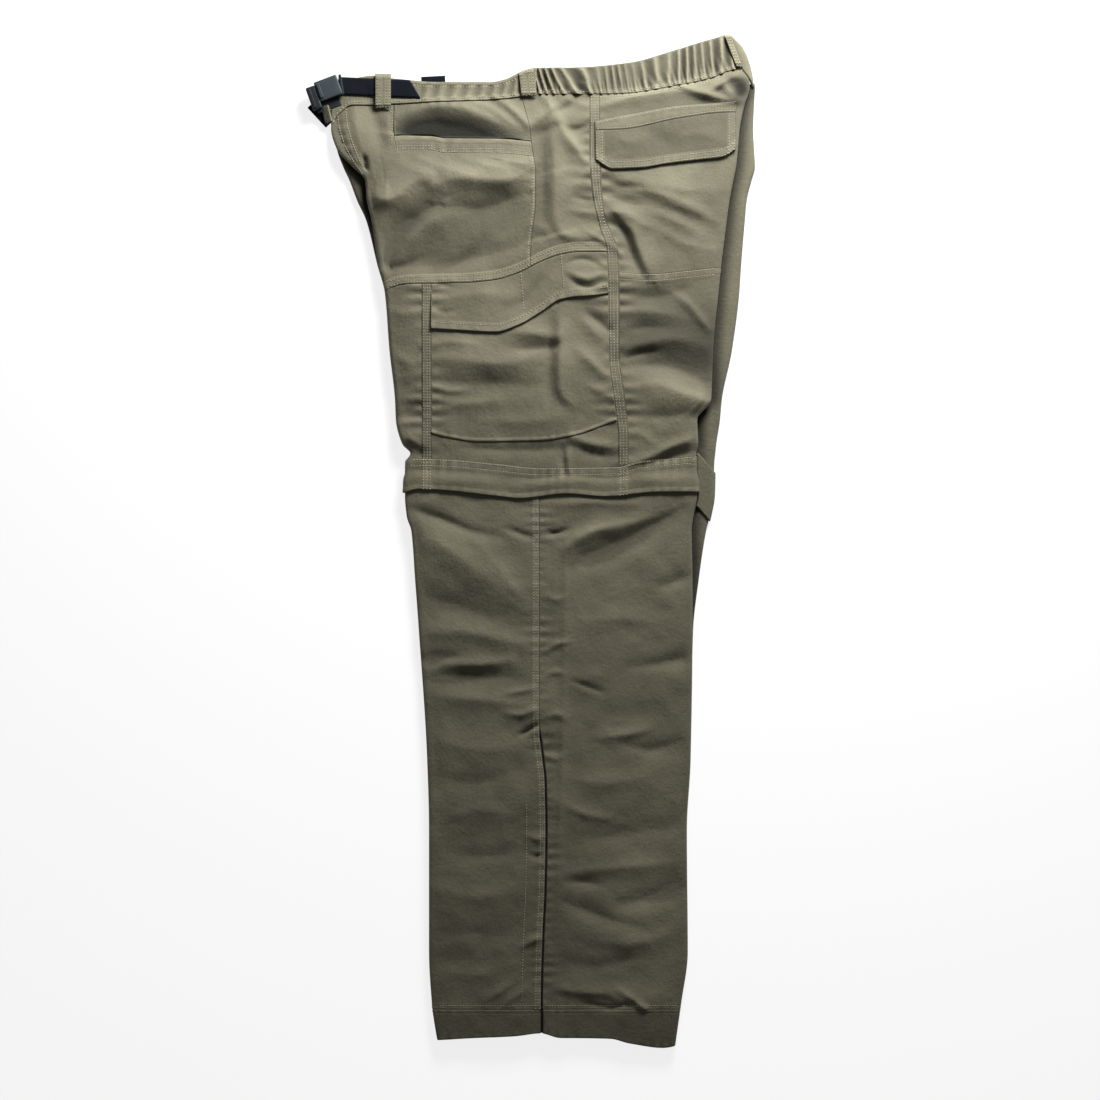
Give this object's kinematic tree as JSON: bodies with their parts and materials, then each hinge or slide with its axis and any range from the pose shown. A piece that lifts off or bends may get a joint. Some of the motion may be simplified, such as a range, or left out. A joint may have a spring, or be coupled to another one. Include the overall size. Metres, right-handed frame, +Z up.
{
  "type": "convertible zip-off trousers, folded flat",
  "caption": "Zip-off cargo trousers folded in half and laid flat, with a belt, a cargo pocket with a flap, a covered knee zip and an ankle zip.",
  "frame": {"origin": "middle of the garment's outline in the plan, on the surface that it lies on", "axes": "+Y from the hems to the waist, +X from the front edge to the back edge, +Z up from the surface"},
  "size_m": [0.4829, 1.0967, 0.0218],
  "materials": {
    "cloth": "matt olive twill, garment washed, slightly raised at the seams",
    "cloth_inside": "matt inner side of the same olive twill",
    "webbing": "woven blue-black polyester webbing",
    "buckle": "moulded blue-grey plastic with a satin face",
    "zip": "black woven zip tape with small plastic teeth"
  },
  "bodies": {
    "root": {"hidden_layers": "cloth_inside", "front_panel": "cloth", "front_pocket_facing": "cloth", "front_pocket_hem": "cloth", "side_panel": "cloth", "side_fell": "cloth", "front_fell": "cloth", "seat_panel": "cloth", "back_pocket_welt": "cloth", "back_pocket_flap": "cloth", "thigh_back_panel": "cloth", "thigh_front_panel": "cloth", "cargo_pocket": "cloth", "cargo_flap": "cloth", "thigh_side_panel": "cloth", "knee_band": "cloth", "right_knee_band": "cloth", "shin_front_panel": "cloth", "shin_back_panel": "cloth", "ankle_zip": "zip", "left_hem": "cloth", "right_hem": "cloth", "waistband_front": "cloth", "waistband_elastic": "cloth", "waistband_right": "cloth", "waist_tab": "cloth", "belt_loop_front": "cloth", "belt_loop_side": "cloth", "belt_loop_back": "cloth", "belt_webbing": "webbing", "belt_webbing_lower": "webbing", "belt_tail": "webbing", "buckle_plate": "buckle", "buckle_frame": "buckle"}
  },
  "joints": []
}
